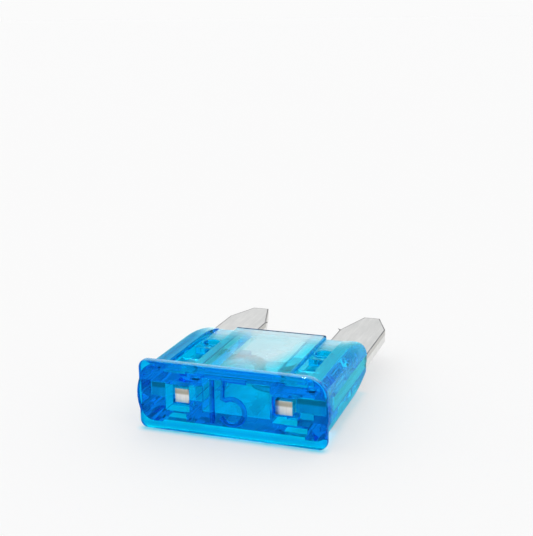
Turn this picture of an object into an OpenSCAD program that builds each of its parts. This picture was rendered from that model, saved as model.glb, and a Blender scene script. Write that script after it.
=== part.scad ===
// Small automotive blade fuse, 15 A blue, lying on its broad face.
// X runs across the head, Y from the head to the blade tips, Z through the thickness.
// The origin is under the middle of the fuse, on the surface that it lies on.

/* [Whole fuse] */
// Length from the head face to the blade tips
fuse_len = 16.3; // [15.5:0.1:18]
// Length of the moulding, from the head face to the seating face
housing_len = 8.8; // [8.4:0.1:9.4]

/* [Head] */
// Width of the head between its flat ends
head_w = 10.74; // [10.6:0.02:11.4]
// Thickness of the head
head_t = 4.0; // [3.8:0.1:4.6]
// Depth of the head flange behind its face
head_depth = 0.5; // [0.45:0.05:0.9]
// Radius of three corners of the head
head_corner_r = 0.5; // [0.4:0.05:1]
// Radius of its fourth corner, above the right end
big_corner_r = 1.2; // [0.8:0.05:1.5]
// Radius on the front and back edges of the head
head_edge_r = 0.18; // [0.1:0.02:0.22]
// How far the round ear on each end stands out
ear_proud = 0.08; // [0.02:0.01:0.2]
// Radius of the ears
ear_r = 2.7; // [1.6:0.1:3]
// Height of the ears across the thickness of the head
ear_h = 2.2; // [1.6:0.1:2.6]

/* [Body] */
// How far each end of the head stands out past the body
head_overhang = 0.02; // [0:0.01:0.1]
// Thickness over the side rails
rail_t = 3.2; // [3.0:0.1:3.6]
// Radius along the outer edges of the rails
rail_edge_r = 0.7; // [0.3:0.05:0.8]
// Width of each side rail
rail_w = 1.25; // [1:0.05:1.4]
// Radius of the lead-in curve that the rails end with
lead_in_r = 10; // [8:0.5:14]
// Length of that lead-in
lead_in_len = 2.8; // [2:0.1:3]
// Step at the parting line between the two mould halves
parting_step = 0.03; // [0.01:0.01:0.06]

/* [Centre pads and troughs] */
// Width of the raised pad on each broad side
pad_w = 5.7; // [5.4:0.1:6]
// Thickness over both pads
pad_t = 2.9; // [2.8:0.05:3.1]
// Radius along the edges of the pads
pad_edge_r = 0.12; // [0.05:0.01:0.2]
// Radius along their back edges
pad_back_r = 0.2; // [0.05:0.01:0.3]
// Thickness between the trough floors, beside the pads
trough_t = 2.3; // [2.2:0.05:2.5]
// Distance from the head face to the front of the troughs
trough_start = 1.2; // [1:0.1:1.6]
// Thickness that is left under the square pockets
pocket_t = 1.5; // [1.4:0.05:1.7]
// Distance from the head face to the pockets
pocket_start = 3.2; // [2.8:0.1:3.4]
// Length of the pockets
pocket_len = 1.9; // [1.5:0.1:2]

/* [Stakes] */
// Distance from the head face to the stakes
stake_y = 6.1; // [5.9:0.1:6.6]
// Diameter of the dimple that the staking punch leaves
dimple_d = 1.1; // [0.8:0.05:1.15]
// Thickness that is left between two dimples
dimple_t = 1.5; // [1.4:0.05:1.7]
// Diameter of the plastic pegs pressed into the element
peg_d = 0.7; // [0.5:0.05:0.8]
// Gap between the ends of two facing pegs
peg_gap = 0.2; // [0.1:0.05:0.4]
// Clearance round a peg in its hole
peg_clearance = 0.05; // [0.03:0.01:0.1]

/* [Openings of the housing] */
// Width of each test window in the head face
window_w = 1.4; // [1.2:0.05:1.5]
// Height of each test window
window_h = 1.5; // [1.2:0.05:1.7]
// Depth of each test window
window_depth = 1.0; // [0.8:0.05:1.2]
// How far the middle of a window lies outwards of the middle of its tab
window_offset = 0.17; // [0:0.01:0.2]
// Width of the link chamber
chamber_w = 3.9; // [3.6:0.1:4.2]
// Height of the link chamber
chamber_h = 1.9; // [1.6:0.05:2.1]
// Distance from the head face to the chamber
chamber_start = 1.5; // [1.2:0.1:2]
// Clearance round the element in its slot
slot_clearance = 0.03; // [0.02:0.01:0.06]

/* [Element] */
// Thickness of the stamped sheet
sheet_t = 0.8; // [0.7:0.05:0.9]
// Width of each blade
blade_w = 2.8; // [2.5:0.05:2.85]
// How far the outer edges of the blades stand in from the sides of the body
blade_inset = 0.025; // [0:0.005:0.1]
// Width of each blade at its tip
tip_w = 1.05; // [0.8:0.05:1.4]
// Length of the taper on the outer edge of a blade
outer_taper_len = 2.3; // [1.5:0.1:3]
// Length of the taper on the inner edge of a blade
inner_taper_len = 3.1; // [2:0.1:3.6]
// How far the outer edge steps in where a blade enters the housing
neck_step = 0.3; // [0.25:0.05:0.5]
// Width of each test tab at the head
tab_w = 0.95; // [0.7:0.05:1.1]
// Distance from the inner edge of a blade plate to the middle of its tab
tab_offset = 0.36; // [0.3:0.02:0.5]
// Depth of the tab ends behind the head face
tab_recess = 0.4; // [0.1:0.05:0.6]
// Distance from the head face to the top edge of the blade plates
plate_start = 1.7; // [1.5:0.1:2.2]
// Width of the fusible link
link_w = 0.55; // [0.3:0.05:0.9]
// Thickness of the fusible link
link_t = 0.4; // [0.2:0.05:0.6]
// Distance from the head face to the middle of the link
link_y = 4.9; // [4.4:0.1:5.4]

/* [Hidden] */
$fn = 64;
fuse_blue = [0.05, 0.55, 0.85, 0.55];
zinc_grey = [0.80, 0.81, 0.80];
// Overlap of one cut or one joined solid past the face it runs through
over = 0.05;
body_w = head_w - 2 * head_overhang;
half_body_w = body_w / 2;
// Half the width between the two rails
between_x = half_body_w - rail_w;
trough_w = between_x - pad_w / 2;
trough_x = (between_x + pad_w / 2) / 2;
rail_len = housing_len - lead_in_len;
outer_x = half_body_w - blade_inset;
inner_x = outer_x - blade_w;
neck_x = outer_x - neck_step;
tab_x = inner_x + tab_offset;
window_x = tab_x + window_offset;
slot_inner_x = inner_x - slot_clearance;
slot_w = neck_x - inner_x + 2 * slot_clearance;
slot_h = sheet_t + 2 * slot_clearance;
slot_start = plate_start - slot_clearance;
peg_hole_d = peg_d + 2 * peg_clearance;
peg_len = (dimple_t - peg_gap) / 2;
link_r = inner_x / 2;

// A rectangle with round corners, centred
module rounded_rect(w, h, r) {
  square([w - 2 * r, h], center = true);
  square([w, h - 2 * r], center = true);
  for (sx = [-1, 1], sy = [-1, 1])
    translate([sx * (w / 2 - r), sy * (h / 2 - r)]) circle(r);
}

// A section in X and Z, run along Y from one distance to another
module along_y(y0, y1) {
  translate([0, y1, 0]) rotate([90, 0, 0]) linear_extrude(y1 - y0) children();
}

// A box given by its middle in X and Z and its two ends in Y
module block(x, y0, y1, w, h) {
  translate([x - w / 2, y0, -h / 2]) cube([w, y1 - y0, h]);
}

// Copies of one detail on the left and the right
module both_sides() {
  for (side = [0, 1]) mirror([side, 0, 0]) children();
}

// Copies of one detail on the top and the underside
module both_faces() {
  for (face = [0, 1]) mirror([0, 0, face]) children();
}

// The upper half of the rails: straight, then curving down to the seating face
module rail_half(w) {
  r = rail_edge_r;
  top = rail_t / 2;
  intersection() {
    along_y(head_depth / 2, rail_len) rounded_rect(w, rail_t, r);
    translate([-w, 0, 0]) cube([2 * w, housing_len, top]);
  }
  intersection() {
    translate([0, rail_len, top - lead_in_r]) rotate([0, 90, 0])
      rotate_extrude($fn = 256) {
        translate([0, -w / 2 + r]) square([lead_in_r, w - 2 * r]);
        translate([0, -w / 2]) square([lead_in_r - r, w]);
        for (side = [-1, 1]) translate([lead_in_r - r, side * (w / 2 - r)]) circle(r);
      }
    translate([-w, rail_len, 0]) cube([2 * w, lead_in_len, top]);
  }
}

// A plate with round corners whose front and back edges are rounded too
module flange(corner_r) {
  r = head_edge_r;
  flat_w = head_w - 2 * corner_r;
  flat_h = head_t - 2 * corner_r;
  translate([0, head_depth / 2, 0]) {
    rotate([90, 0, 90]) translate([0, 0, -flat_w / 2])
      linear_extrude(flat_w) rounded_rect(head_depth, head_t, r);
    translate([0, 0, -flat_h / 2])
      linear_extrude(flat_h) rounded_rect(head_w, head_depth, r);
    for (sx = [-1, 1], sz = [-1, 1])
      translate([sx * flat_w / 2, 0, sz * flat_h / 2]) rotate([90, 0, 0])
        rotate_extrude() intersection() {
          rounded_rect(2 * corner_r, head_depth, r);
          translate([0, -head_depth]) square([corner_r, 2 * head_depth]);
        }
  }
}

// The head: a flange with one corner rounder than the others, and an ear on each end
module head() {
  difference() {
    flange(head_corner_r);
    translate([0, -head_depth, 0]) cube([head_w, 3 * head_depth, head_t]);
  }
  intersection() {
    flange(big_corner_r);
    translate([-over, -head_depth, -over]) cube([head_w, 3 * head_depth, head_t]);
  }
  both_sides() intersection() {
    along_y(0, head_depth)
      translate([head_w / 2 + ear_proud - ear_r, 0]) circle(ear_r);
    block(head_w / 2, 0, head_depth, 2 * head_corner_r, ear_h);
  }
}

// A centre pad on each broad side, with round edges along its sides and its back
module pads() {
  intersection() {
    along_y(head_depth / 2, housing_len) rounded_rect(pad_w, pad_t, pad_edge_r);
    rotate([90, 0, 90]) translate([housing_len / 2, 0, -pad_w / 2])
      linear_extrude(pad_w) rounded_rect(housing_len, pad_t, pad_back_r);
  }
}

// The peg that the staking punch presses into the element from one face
module peg() {
  translate([trough_x, stake_y, peg_gap / 2]) cylinder(d = peg_d, h = peg_len);
}

// The slot of one blade plate, with its test window at the head
module blade_slot() {
  block(slot_inner_x + slot_w / 2, slot_start, housing_len + over, slot_w, slot_h);
  block(tab_x, window_depth - over, slot_start + over, tab_w + 2 * slot_clearance, slot_h);
  block(window_x, -over, window_depth, window_w, window_h);
}

// A cut that leaves the given thickness of the body between two such cuts
module face_cut(x, y0, y1, w, left_t) {
  translate([0, 0, (left_t + head_t) / 2]) block(x, y0, y1, w, head_t);
}

// What is cut from one broad side between the rails: a step down to the pad beside
// the head, the troughs, their square pockets and the punch dimples
module face_cuts() {
  face_cut(0, head_depth, trough_start, 2 * between_x, pad_t);
  face_cut(0, trough_start, housing_len + over, 2 * between_x, trough_t);
  both_sides() {
    face_cut(trough_x, pocket_start, pocket_start + pocket_len, trough_w, pocket_t);
    translate([trough_x, stake_y, dimple_t / 2]) cylinder(d = dimple_d, h = head_t);
  }
}

// The moulded housing, one piece
module housing() {
  place() color(fuse_blue) {
    difference() {
      union() {
        head();
        difference() {
          union() {
            rail_half(body_w);
            mirror([0, 0, 1]) rail_half(body_w - 2 * parting_step);
          }
          both_faces() face_cuts();
        }
        pads();
      }
      both_sides() blade_slot();
      block(0, chamber_start, housing_len + over, chamber_w, chamber_h);
      block(0, slot_start, housing_len + over, 2 * slot_inner_x + over, slot_h);
    }
    both_sides() both_faces() peg();
  }
}

// The outline of one blade, from the test tab to the chamfered tip
module blade_outline() {
  tip_x0 = inner_x + (blade_w - tip_w) / 2;
  polygon([
    [inner_x, plate_start], [inner_x, fuse_len - inner_taper_len],
    [tip_x0, fuse_len], [tip_x0 + tip_w, fuse_len],
    [outer_x, fuse_len - outer_taper_len], [outer_x, housing_len],
    [neck_x, housing_len], [neck_x, plate_start]
  ]);
  translate([tab_x - tab_w / 2, tab_recess]) square([tab_w, plate_start + over - tab_recess]);
}

// One half of the S-shaped link: a half ring from a blade to the middle
module link_half() {
  intersection() {
    difference() {
      circle(link_r + link_w / 2);
      circle(link_r - link_w / 2);
    }
    translate([-2 * link_r, 0]) square([4 * link_r, 2 * link_r]);
  }
}

// The stamped element, one piece
module fuse_element() {
  place() color(zinc_grey) {
    translate([0, 0, -sheet_t / 2]) linear_extrude(sheet_t)
      both_sides() difference() {
        blade_outline();
        translate([trough_x, stake_y]) circle(d = peg_hole_d);
      }
    translate([0, link_y, -link_t / 2]) linear_extrude(link_t)
      for (turn = [0, 180]) rotate(turn) translate([-link_r, 0]) link_half();
  }
}

// Moves the fuse from its head face and middle plane to the frame of the part
module place() {
  translate([0, -fuse_len / 2, head_t / 2]) children();
}

housing();
fuse_element();
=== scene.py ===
"""Looks of the small blue blade fuse: clear moulded housing, satin zinc element, pale studio."""

import math

import bmesh
import bpy
from mathutils import Matrix, Vector


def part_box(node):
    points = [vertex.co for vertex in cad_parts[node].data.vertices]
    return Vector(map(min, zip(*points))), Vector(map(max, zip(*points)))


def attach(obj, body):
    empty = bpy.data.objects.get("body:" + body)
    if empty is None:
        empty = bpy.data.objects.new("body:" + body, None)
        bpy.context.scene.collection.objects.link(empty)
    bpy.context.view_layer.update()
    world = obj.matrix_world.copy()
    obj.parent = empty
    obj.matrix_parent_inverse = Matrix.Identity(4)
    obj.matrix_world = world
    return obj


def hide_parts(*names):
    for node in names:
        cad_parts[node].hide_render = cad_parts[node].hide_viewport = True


MM = 0.001

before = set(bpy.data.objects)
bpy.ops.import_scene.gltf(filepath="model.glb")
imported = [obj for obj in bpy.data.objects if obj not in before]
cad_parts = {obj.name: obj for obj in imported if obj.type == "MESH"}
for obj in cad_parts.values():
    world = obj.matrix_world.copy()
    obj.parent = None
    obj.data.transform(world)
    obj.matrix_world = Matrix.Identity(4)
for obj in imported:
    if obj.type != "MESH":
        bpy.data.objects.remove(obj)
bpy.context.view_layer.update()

# Places on the solids, in metres
HEAD_FACE_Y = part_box("housing")[0].y
HEAD_BACK_Y = HEAD_FACE_Y + 0.5 * MM
MIDDLE_Z = 2.0 * MM

# Places on the solids, in millimetres
BLADE = [(5.325, 0.65), (5.325, 5.85), (4.45, 8.15), (3.40, 8.15), (2.525, 5.05), (2.525, 0.65)]
DIMPLE_X, DIMPLE_Y = 3.475, -2.05
TROUGH_Z = 3.15

PLASTIC_IOR = 1.57
VIVID = 0.8  # share of the clear surface that has body-coloured reflections
OWN_LIGHT = 0.5  # share of the floor's white that needs no lamp
BACKGROUND = 0.965  # strength of the white behind the fuse
WHITE = (1.0, 1.0, 1.0)
# Painted blue light from the plastic, on the floor near the housing
PAINTED_GLOW_BLUE = (0.03, 0.74, 0.93)
BOUNCES = 32


# Camera: place, turn and lens from a fit to the edges of the fuse

YAW, PITCH, ROLL = 0.3341, 0.2468, -0.0093
CAMERA_AT = Vector((18.1213, -54.1908, 21.9339)) * MM
SENSOR_MM = 36.0
FOCUS_PX, PICTURE_PX = 992.3655, 536.0
LENS_MM = FOCUS_PX * SENSOR_MM / PICTURE_PX


def make_camera():
    ahead = Vector((-math.sin(YAW) * math.cos(PITCH), math.cos(YAW) * math.cos(PITCH),
                    -math.sin(PITCH)))
    right = Vector((math.cos(YAW), math.sin(YAW), 0.0))
    up = right.cross(ahead)
    x = math.cos(ROLL) * right + math.sin(ROLL) * up
    y = -math.sin(ROLL) * right + math.cos(ROLL) * up
    data = bpy.data.cameras.new("camera")
    data.lens = LENS_MM
    data.sensor_width = SENSOR_MM
    data.clip_start = 0.001
    data.clip_end = 1000.0
    camera = link("camera", data)
    turn = Matrix((x, y, -ahead)).transposed()
    camera.matrix_world = Matrix.Translation(CAMERA_AT) @ turn.to_4x4()
    bpy.context.scene.camera = camera


# Meshes

def link(name, data):
    piece = bpy.data.objects.new(name, data)
    bpy.context.scene.collection.objects.link(piece)
    return piece


def joined_copy(name, source):
    """A new piece with the CAD node's faces, joined along their edges, with flat faces whole."""
    bm = bmesh.new()
    bm.from_mesh(source.data)
    bmesh.ops.remove_doubles(bm, verts=bm.verts, dist=0.0002 * MM)
    bm.verts.ensure_lookup_table()
    bmesh.ops.dissolve_limit(bm, angle_limit=math.radians(0.2), verts=bm.verts, edges=bm.edges)
    points = [v.co.copy() for v in bm.verts]
    bm.verts.index_update()
    faces = [[v.index for v in f.verts] for f in bm.faces]
    bm.free()
    mesh = bpy.data.meshes.new(name)
    mesh.from_pydata(points, [], faces)
    mesh.validate()
    return link(name, mesh)


def shaped_mesh(piece):
    """The surface of a curve, or of a piece with its modifiers."""
    bpy.context.view_layer.update()
    shaped = piece.evaluated_get(bpy.context.evaluated_depsgraph_get())
    return bpy.data.meshes.new_from_object(shaped)


def apply_modifiers(piece):
    mesh = shaped_mesh(piece)
    piece.modifiers.clear()
    piece.data = mesh


def bead(name, points, radius, closed=False, last=1.0):
    """A round bead along points in millimetres. Its end is last times as thick as its start."""
    curve = bpy.data.curves.new(name, "CURVE")
    curve.dimensions = "3D"
    curve.bevel_depth = radius * MM
    curve.bevel_resolution = 3
    curve.use_fill_caps = not closed
    spline = curve.splines.new("POLY")
    spline.points.add(len(points) - 1)
    spline.use_cyclic_u = closed
    for i, (knot, point) in enumerate(zip(spline.points, points)):
        knot.co = (*(MM * c for c in point), 1.0)
        knot.radius = 1.0 + (last - 1.0) * i / (len(points) - 1)
    path = link(name, curve)
    mesh = shaped_mesh(path)
    bpy.data.objects.remove(path)
    return link(name, mesh)


def arc(centre, radius, start, end, steps):
    """Points of an arc from one angle to another, in degrees."""
    turns = [math.radians(start + (end - start) * i / steps) for i in range(steps + 1)]
    return [(centre[0] + radius * math.cos(a), centre[1] + radius * math.sin(a)) for a in turns]


def unite(piece, others):
    """Makes the others part of the piece's own closed surface."""
    for other in others:
        union = piece.modifiers.new("union", "BOOLEAN")
        union.operation = "UNION"
        union.solver = "EXACT"
        union.object = other
        apply_modifiers(piece)
        bpy.data.objects.remove(other)


def round_edges(piece, width, angle_deg):
    """Rounds the edges between faces that meet at more than this angle."""
    rounding = piece.modifiers.new("rounding", "BEVEL")
    rounding.width = width
    rounding.segments = 2
    rounding.limit_method = "ANGLE"
    rounding.angle_limit = math.radians(angle_deg)
    apply_modifiers(piece)


def smooth(piece, angle_deg):
    """Smooth shading between faces that meet at less than this angle, with flat faces kept flat."""
    mesh = piece.data
    mesh.polygons.foreach_set("use_smooth", [True] * len(mesh.polygons))
    mesh.set_sharp_from_angle(angle=math.radians(angle_deg))
    weighted = piece.modifiers.new("weighted", "WEIGHTED_NORMAL")
    weighted.mode = "FACE_AREA"
    weighted.weight = 50
    weighted.keep_sharp = True


def set_material(piece, material):
    piece.data.materials.clear()
    piece.data.materials.append(material)


# Nodes: a value below is a number, a colour, a vector or the outlet of another node

def new_material(name):
    material = bpy.data.materials.new(name)
    material.use_nodes = True
    material.node_tree.nodes.clear()
    return material, material.node_tree


def feed(tree, socket, value):
    if isinstance(value, bpy.types.NodeSocket):
        tree.links.new(value, socket)
    elif socket.type == "RGBA":
        socket.default_value = (*value, 1)
    else:
        socket.default_value = value


def node(tree, kind, **values):
    """A node with these inlets and settings. Underscores stand for spaces in an inlet's name."""
    made = tree.nodes.new(kind)
    for key, value in values.items():
        inlet = key.replace("_", " ")
        if inlet in made.inputs:
            feed(tree, made.inputs[inlet], value)
        else:
            setattr(made, key, value)
    return made


def split(tree, vector):
    """The outlets X, Y and Z of a vector."""
    return node(tree, "ShaderNodeSeparateXYZ", Vector=vector).outputs


def calc(tree, operation, *values):
    made = node(tree, "ShaderNodeMath", operation=operation)
    for socket, value in zip(made.inputs, values):
        feed(tree, socket, value)
    return made.outputs[0]


def vector_calc(tree, operation, *values):
    made = node(tree, "ShaderNodeVectorMath", operation=operation)
    for socket, value in zip(made.inputs, values):
        feed(tree, socket, value)
    return made.outputs["Value" if operation in ("LENGTH", "DOT_PRODUCT") else "Vector"]


def product(tree, first, *others):
    for other in others:
        first = calc(tree, "MULTIPLY", first, other)
    return first


def largest(tree, first, *others):
    for other in others:
        first = calc(tree, "MAXIMUM", first, other)
    return first


def distance(tree, value, other=0.0):
    """How far a value is from another, either way."""
    return calc(tree, "ABSOLUTE", calc(tree, "SUBTRACT", value, other))


def ranged(tree, value, low, high, from_low=0.3, from_high=0.7):
    """low up to from_low, high past from_high, even between. Noise is mostly from 0.3 to 0.7."""
    return node(tree, "ShaderNodeMapRange", Value=value, From_Min=from_low, From_Max=from_high,
                To_Min=low, To_Max=high).outputs["Result"]


def ramp(tree, value, zero, one):
    """0 at zero and beyond, 1 at one and beyond, even between. Either can be the lower."""
    if zero < one:
        return ranged(tree, value, 0.0, 1.0, zero, one)
    return ranged(tree, value, 1.0, 0.0, one, zero)


def ramp_mm(tree, value, zero, one):
    return ramp(tree, value, zero * MM, one * MM)


def noise(tree, scale, stretch=(1, 1, 1), detail=3.0, roughness=0.5):
    """Noise in the row frame: scale is in cycles a millimetre."""
    place = node(tree, "ShaderNodeTexCoord").outputs["Object"]
    in_mm = node(tree, "ShaderNodeMapping", Vector=place, Scale=[s / MM for s in stretch])
    return node(tree, "ShaderNodeTexNoise", Scale=scale, Detail=detail, Roughness=roughness,
                Vector=in_mm.outputs["Vector"]).outputs["Fac"]


def along(tree, axis):
    """The place on this axis, in metres."""
    return split(tree, node(tree, "ShaderNodeTexCoord").outputs["Object"])[axis]


def facing(tree, axis):
    """How far a face looks along this axis, either way."""
    normal = node(tree, "ShaderNodeNewGeometry").outputs["Normal"]
    return calc(tree, "ABSOLUTE", split(tree, normal)[axis])


def blended(tree, factor, a, b):
    """A colour between two, by a factor."""
    made = node(tree, "ShaderNodeMix", data_type="RGBA")
    for index, value in ((0, factor), (6, a), (7, b)):
        feed(tree, made.inputs[index], value)
    return made.outputs[2]


def between(tree, factor, a, b):
    """A number between two, by a factor."""
    made = node(tree, "ShaderNodeMix", data_type="FLOAT")
    for index, value in ((0, factor), (2, a), (3, b)):
        feed(tree, made.inputs[index], value)
    return made.outputs[0]


def mix_shaders(tree, factor, a, b):
    made = node(tree, "ShaderNodeMixShader")
    for socket, value in zip(made.inputs, (factor, a, b)):
        feed(tree, socket, value)
    return made.outputs["Shader"]


# The plastic

def housing_zones(tree):
    """How far a place belongs to each part of the housing with its own painted light or shade,
    from 0 to 1.
    """
    x, y, z = along(tree, "X"), along(tree, "Y"), along(tree, "Z")
    aside, apart = distance(tree, x), distance(tree, z, MIDDLE_Z)
    ahead, level = facing(tree, "Y"), facing(tree, "Z")
    zones = {}

    # What looks forwards or backwards, with the windows, and the raised digits: painted shade,
    # a deeper blue for the long path through the plastic and along the strokes
    window = product(tree, ramp(tree, y, HEAD_FACE_Y + 1.04 * MM, HEAD_FACE_Y + 1.02 * MM),
                     ramp_mm(tree, apart, 0.80, 0.76))
    zones["front"] = largest(tree, ramp(tree, ahead, 0.35, 0.85), window)
    zones["digit"] = ramp(tree, y, HEAD_FACE_Y - 0.01 * MM, HEAD_FACE_Y - 0.04 * MM)

    # The middle of the broad sides, wider towards the blades, with streaky borders: painted light,
    # paler, and whiter on what looks up behind the head
    wedge = calc(tree, "MULTIPLY_ADD", y, -0.14, distance(tree, x, 0.2 * MM))
    streaks = noise(tree, 0.9, stretch=(1.0, 0.3, 1.0), detail=2.0)
    central = ramp_mm(tree, calc(tree, "MULTIPLY_ADD", streaks, 1.6 * MM, wedge), 3.5, 2.3)
    zones["middle"] = product(tree, central, ramp_mm(tree, y, -6.9, -4.4))
    zones["haze"] = product(tree, central, ramp_mm(tree, y, -7.5, -6.0),
                            ramp(tree, level, 0.6, 0.9))

    # The edge of the head's flange, upright and on the broad sides: painted shade, a deeper blue,
    # on the upright rim, and a painted highlight, pale with white gloss, along the top edge
    flange = ramp(tree, y, HEAD_BACK_Y + 0.05 * MM, HEAD_BACK_Y + 0.02 * MM)
    outer = largest(tree, ramp_mm(tree, apart, 1.5, 1.6), ramp_mm(tree, aside, 4.9, 5.15))
    zones["rim"] = product(tree, flange, ramp(tree, level, 0.80, 0.45),
                           ramp_mm(tree, z, 0.18, 0.30), outer)
    zones["top_edge"] = product(tree, flange, ramp_mm(tree, apart, 1.65, 1.80),
                                ramp(tree, level, 0.55, 0.90))

    # The rails, the left end, what lies near the blades, and the back edge of the pads: painted
    # shade, a deeper blue, on the rails and the left end; painted light, paler, near the blades;
    # and a painted dark shade line along the back edge of the pads
    zones["rail"] = ramp_mm(tree, distance(tree, x, 0.5 * MM), 4.0, 5.2)
    zones["left"] = ramp_mm(tree, x, -4.2, -5.0)
    zones["rear"] = product(tree, ramp_mm(tree, y, -2.2, -0.1), ramp(tree, level, 0.2, 0.9),
                            ranged(tree, aside, 1.0, 0.15, 4.3 * MM, 5.0 * MM))
    zones["back_edge"] = product(tree, ramp_mm(tree, y, 0.29, 0.37),
                                 ramp_mm(tree, apart, 1.26, 1.38),
                                 ramp_mm(tree, aside, 2.95, 2.85))
    return zones


def clear_blue():
    """Glossy clear blue plastic that darkens with depth, with painted light and shade in its colour:
    paler zones and a highlight, and deeper blue zones, deepest through its front and back.
    """
    material, tree = new_material("clear_blue_plastic")
    ripple = noise(tree, 0.35, detail=2.0)
    fine = noise(tree, 6.0, detail=2.0)
    zones = housing_zones(tree)

    # A later zone covers the ones before it. Over the plain skin these are painted light and shade:
    # pale middle, rear and top edge; deeper blue rails, left end, front, rim, digits; dark back edge
    skin = blended(tree, ripple, (0.12, 0.93, 1.0), (0.24, 0.96, 1.0))
    for zone, colour in (("middle", (0.98, 1.0, 1.0)), ("rail", (0.02, 0.78, 0.98)),
                         ("left", (0.0, 0.55, 0.88)), ("rear", (0.93, 0.99, 0.995)),
                         ("front", (0.0004, 0.74, 0.97)), ("rim", (0.0, 0.50, 0.90)),
                         ("top_edge", (0.24, 0.97, 1.0)), ("back_edge", (0.0, 0.008, 0.06)),
                         ("digit", (0.0, 0.22, 0.72))):
        skin = blended(tree, zones[zone], skin, colour)
    # Tint of reflections: white on the painted pale middle and top edge, dark on the painted back
    # edge
    gloss = (0.10, 0.90, 1.0)
    for zone, colour in (("middle", WHITE), ("front", (0.02, 0.50, 0.92)), ("top_edge", WHITE),
                         ("back_edge", (0.02, 0.12, 0.28)), ("digit", (0.02, 0.35, 0.80))):
        gloss = blended(tree, zones[zone], gloss, colour)
    # Painted light: whiter, less clear plastic behind the head, along the top edge and near the
    # blades
    painted_white = largest(tree, product(tree, zones["haze"], ranged(tree, ripple, 0.36, 0.56)),
                     product(tree, zones["top_edge"], 0.5), product(tree, zones["rear"], 0.6))
    clear = calc(tree, "SUBTRACT", 1.0, painted_white)

    rounded = node(tree, "ShaderNodeBevel", samples=6, Radius=0.05 * MM).outputs["Normal"]
    bump = node(tree, "ShaderNodeBump", Strength=0.25, Distance=0.02 * MM, Height=ripple,
                Normal=rounded).outputs["Normal"]
    plain = node(tree, "ShaderNodeBsdfPrincipled", IOR=PLASTIC_IOR, Base_Color=skin,
                 Specular_Tint=gloss, Transmission_Weight=clear, Normal=bump,
                 Roughness=ranged(tree, fine, 0.015, 0.05)).outputs["BSDF"]

    # Part of the clear surface has body-coloured reflections, so it stays vivid when seen aslant
    thinned = node(tree, "ShaderNodeGamma", Gamma=0.5, Color=skin).outputs["Color"]
    bend = node(tree, "ShaderNodeBsdfRefraction", IOR=PLASTIC_IOR, Roughness=0.02, Color=thinned,
                Normal=bump).outputs["BSDF"]
    inside = node(tree, "ShaderNodeNewGeometry").outputs["Backfacing"]
    shine = node(tree, "ShaderNodeBsdfGlossy", Roughness=0.03, Normal=bump,
                 Color=blended(tree, inside, gloss, WHITE)).outputs["BSDF"]
    fresnel = node(tree, "ShaderNodeFresnel", IOR=PLASTIC_IOR, Normal=bump).outputs["Fac"]
    vivid = mix_shaders(tree, fresnel, bend, shine)
    share = largest(tree, product(tree, clear, VIVID), zones["back_edge"])
    body = mix_shaders(tree, share, plain, vivid)

    # Lamps shine through it, tinted
    through = node(tree, "ShaderNodeBsdfTransparent", Color=(0.20, 0.93, 1.0)).outputs["BSDF"]
    to_lamp = node(tree, "ShaderNodeLightPath").outputs["Is Shadow Ray"]
    depth = node(tree, "ShaderNodeVolumeAbsorption", Color=(0.13, 0.895, 0.99), Density=1300.0)
    node(tree, "ShaderNodeOutputMaterial", Volume=depth.outputs["Volume"],
         Surface=mix_shaders(tree, to_lamp, body, through))
    return material


# The metal

def inside_blade(tree):
    """How far a place is inside the outline of the blades, in metres."""
    place = node(tree, "ShaderNodeCombineXYZ", X=distance(tree, along(tree, "X")),
                 Y=along(tree, "Y")).outputs["Vector"]
    nearest = None
    for (ax, ay), (bx, by) in zip(BLADE, BLADE[1:]):
        outwards = Vector((by - ay, ax - bx)).normalized()
        reach = vector_calc(tree, "DOT_PRODUCT", place, (*outwards, 0.0))
        gap = calc(tree, "SUBTRACT", outwards.dot(Vector((ax, ay))) * MM, reach)
        nearest = gap if nearest is None else calc(tree, "MINIMUM", nearest, gap)
    return nearest


def satin_zinc():
    """Rolled zinc sheet: fine grain along the blades, and painted shade on the sheared edges' upper
    part and as dark lines along the outlines.
    """
    material, tree = new_material("satin_zinc")
    grain = noise(tree, 4.0, stretch=(1.0, 0.08, 1.0), detail=4.0, roughness=0.75)
    blotch = noise(tree, 0.9, detail=3.0)
    shear = noise(tree, 8.0, stretch=(1.0, 1.0, 0.08), detail=3.0)
    level = facing(tree, "Z")

    # The broad faces
    rolled = blended(tree, grain, (0.22, 0.23, 0.23), (1.0, 1.0, 0.99))
    worn = blended(tree, blotch, (0.56, 0.57, 0.57), (0.76, 0.76, 0.75))
    top = blended(tree, ranged(tree, grain, 0.3, 0.7, 0.0, 1.0), worn, rolled)

    # The sheared edges: bright below, with painted shade above, tan and darkest where they look
    # forwards or backwards
    bright = blended(tree, shear, (0.66, 0.66, 0.65), (0.93, 0.93, 0.91))
    painted_shade_tan = blended(tree, ramp(tree, facing(tree, "Y"), 0.4, 0.8),
                    (0.50, 0.49, 0.46), (0.34, 0.30, 0.21))
    painted_shade_above = ranged(tree, along(tree, "Z"), 0.0, 0.8, 2.04 * MM, 2.14 * MM)
    side = blended(tree, painted_shade_above, bright, painted_shade_tan)

    colour = blended(tree, ramp(tree, level, 0.10, 0.30), side, top)
    # Painted shade: a dark line just inside the outline of the blades' broad faces, broken by
    # blotches
    outline = product(tree, ramp_mm(tree, inside_blade(tree), 0.10, 0.05),
                      ramp(tree, level, 0.08, 0.25), ranged(tree, blotch, 0.6, 1.0))
    colour = blended(tree, outline, colour, (0.07, 0.07, 0.08))
    bump = node(tree, "ShaderNodeBump", Strength=0.35, Distance=0.012 * MM, Height=grain)
    shader = node(tree, "ShaderNodeBsdfPrincipled", Metallic=1.0, Base_Color=colour,
                  Roughness=ranged(tree, grain, 0.30, 0.48), Normal=bump.outputs["Normal"])
    node(tree, "ShaderNodeOutputMaterial", Surface=shader.outputs["BSDF"])
    return material


# The studio

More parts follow.
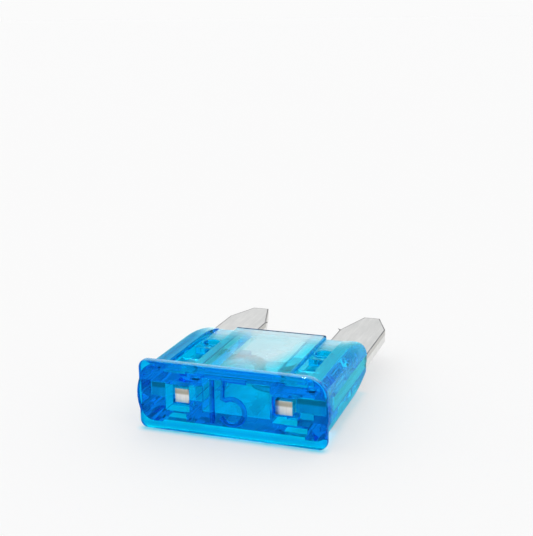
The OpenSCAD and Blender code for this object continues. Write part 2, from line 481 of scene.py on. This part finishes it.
def light_through(tree):
    """How much blue light from the plastic the floor gets here, most at the foot of the head."""
    low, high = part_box("housing")
    middle, half = (low + high) / 2, (high - low) / 2
    foot = (half.x - 0.50 * MM, half.y - 0.18 * MM, 1.0)
    place = node(tree, "ShaderNodeTexCoord").outputs["Object"]
    past = vector_calc(tree, "SUBTRACT", place, (middle.x, middle.y, 0.0))
    past = vector_calc(tree, "SUBTRACT", vector_calc(tree, "ABSOLUTE", past), foot)
    outside = vector_calc(tree, "LENGTH", vector_calc(tree, "MAXIMUM", past, (0.0, 0.0, 0.0)))
    sides = split(tree, past)
    near = ramp_mm(tree, outside, 0.75, 0.18)
    return product(tree, near, near, ranged(tree, noise(tree, 1.2), 0.7, 1.0),
                   ramp_mm(tree, largest(tree, sides["X"], sides["Y"]), -0.9, -0.1),
                   ranged(tree, along(tree, "Y"), 1.0, 0.22, low.y - 0.05 * MM, low.y + 0.5 * MM))


def pale_floor():
    """White, with painted blue light from the plastic near the housing. Part of it needs no lamp
    when seen, so that the shadow stays light.
    """
    material, tree = new_material("pale_floor")
    glow = light_through(tree)
    pale = blended(tree, noise(tree, 0.02), (0.955, 0.957, 0.96), (0.965, 0.965, 0.965))
    shader = node(tree, "ShaderNodeBsdfPrincipled", Roughness=0.85, Specular_IOR_Level=0.15,
                  Base_Color=blended(tree, glow, pale, PAINTED_GLOW_BLUE))
    white = node(tree, "ShaderNodeEmission", Strength=1.0,
                 Color=blended(tree, glow, (0.96, 0.96, 0.96), PAINTED_GLOW_BLUE))
    path = node(tree, "ShaderNodeLightPath").outputs
    seen = calc(tree, "MULTIPLY_ADD", path["Is Transmission Ray"], OWN_LIGHT,
                product(tree, path["Is Camera Ray"], OWN_LIGHT))
    node(tree, "ShaderNodeOutputMaterial",
         Surface=mix_shaders(tree, seen, shader.outputs["BSDF"], white.outputs["Emission"]))
    return material


def make_floor():
    bm = bmesh.new()
    bmesh.ops.create_grid(bm, x_segments=8, y_segments=8, size=400.0)
    mesh = bpy.data.meshes.new("floor")
    bm.to_mesh(mesh)
    bm.free()
    floor = link("floor", mesh)
    floor.data.materials.append(pale_floor())


def make_world():
    """White to look at and in glass, soft light on the object, dimmer in gloss behind the camera."""
    world = bpy.data.worlds.new("studio")
    bpy.context.scene.world = world
    world.use_nodes = True
    tree = world.node_tree
    tree.nodes.clear()
    path = node(tree, "ShaderNodeLightPath").outputs
    ahead = split(tree, node(tree, "ShaderNodeTexCoord").outputs["Generated"])["Y"]
    soft = ranged(tree, ahead, 0.64, 1.21, -0.7, 0.7)
    in_gloss = ranged(tree, ahead, 0.8, BACKGROUND, -0.8, 0.0)
    seen = largest(tree, path["Is Camera Ray"], path["Is Transmission Ray"])
    strength = between(tree, path["Is Glossy Ray"], soft, in_gloss)
    back = node(tree, "ShaderNodeBackground", Color=WHITE,
                Strength=between(tree, seen, strength, BACKGROUND))
    node(tree, "ShaderNodeOutputWorld", Surface=back.outputs["Background"])


def sun(name, towards, angle_deg, strength):
    """A far soft lamp, so that the whole floor is lit alike."""
    data = bpy.data.lights.new(name, "SUN")
    data.angle = math.radians(angle_deg)
    data.energy = strength
    light = link(name, data)
    light.rotation_mode = "QUATERNION"
    light.rotation_quaternion = Vector(towards).to_track_quat("Z", "Y")
    return light


make_camera()
make_world()
sun("key", (-0.45, 0.35, 1.0), 75, 0.24)
sun("spark", (-0.25, -0.60, 1.0), 4, 1.0).visible_diffuse = False
make_floor()


# The housing

housing = joined_copy("housing_moulding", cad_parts["housing"])

# Strokes of the rating's digits, in X and Z on the face of the head
one = [(-1.02, 3.3), (-1.02, 0.85)]
five = [(0.95, 3.35), (-0.35, 3.35), (-0.42, 2.3)] + arc((0.12, 1.6), 0.72, 118, -150, 28)
digits = [bead("digit", [(x, HEAD_FACE_Y / MM, z) for x, z in stroke], 0.15)
          for stroke in (one, five)]

# Rims that the punch raised round the dimples, on the floors of the troughs
lips = []
for side in (-1, 1):
    ring = arc((side * DIMPLE_X, DIMPLE_Y), 0.58, 0, 345, 23)
    lips.append(bead("lip", [(x, y, TROUGH_Z) for x, y in ring], 0.07, closed=True))
unite(housing, digits + lips)
smooth(housing, 28)
set_material(housing, clear_blue())
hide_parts("housing")
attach(housing, "root")


# The element

element = joined_copy("stamped_element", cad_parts["fuse_element"])
round_edges(element, 0.035 * MM, 35)

# A small burr at the inner edge of each blade
burrs = [bead("burr", [(side * 2.60, 5.05, 2.35), (side * 2.40, 5.09, 2.45)], 0.06, last=0.2)
         for side in (-1, 1)]
unite(element, burrs)
smooth(element, 35)
set_material(element, satin_zinc())
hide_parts("fuse_element")
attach(element, "root")

scene = bpy.context.scene
scene.view_settings.view_transform = "Standard"
scene.cycles.max_bounces = BOUNCES
scene.cycles.glossy_bounces = BOUNCES
scene.cycles.transmission_bounces = BOUNCES
scene.cycles.transparent_max_bounces = BOUNCES
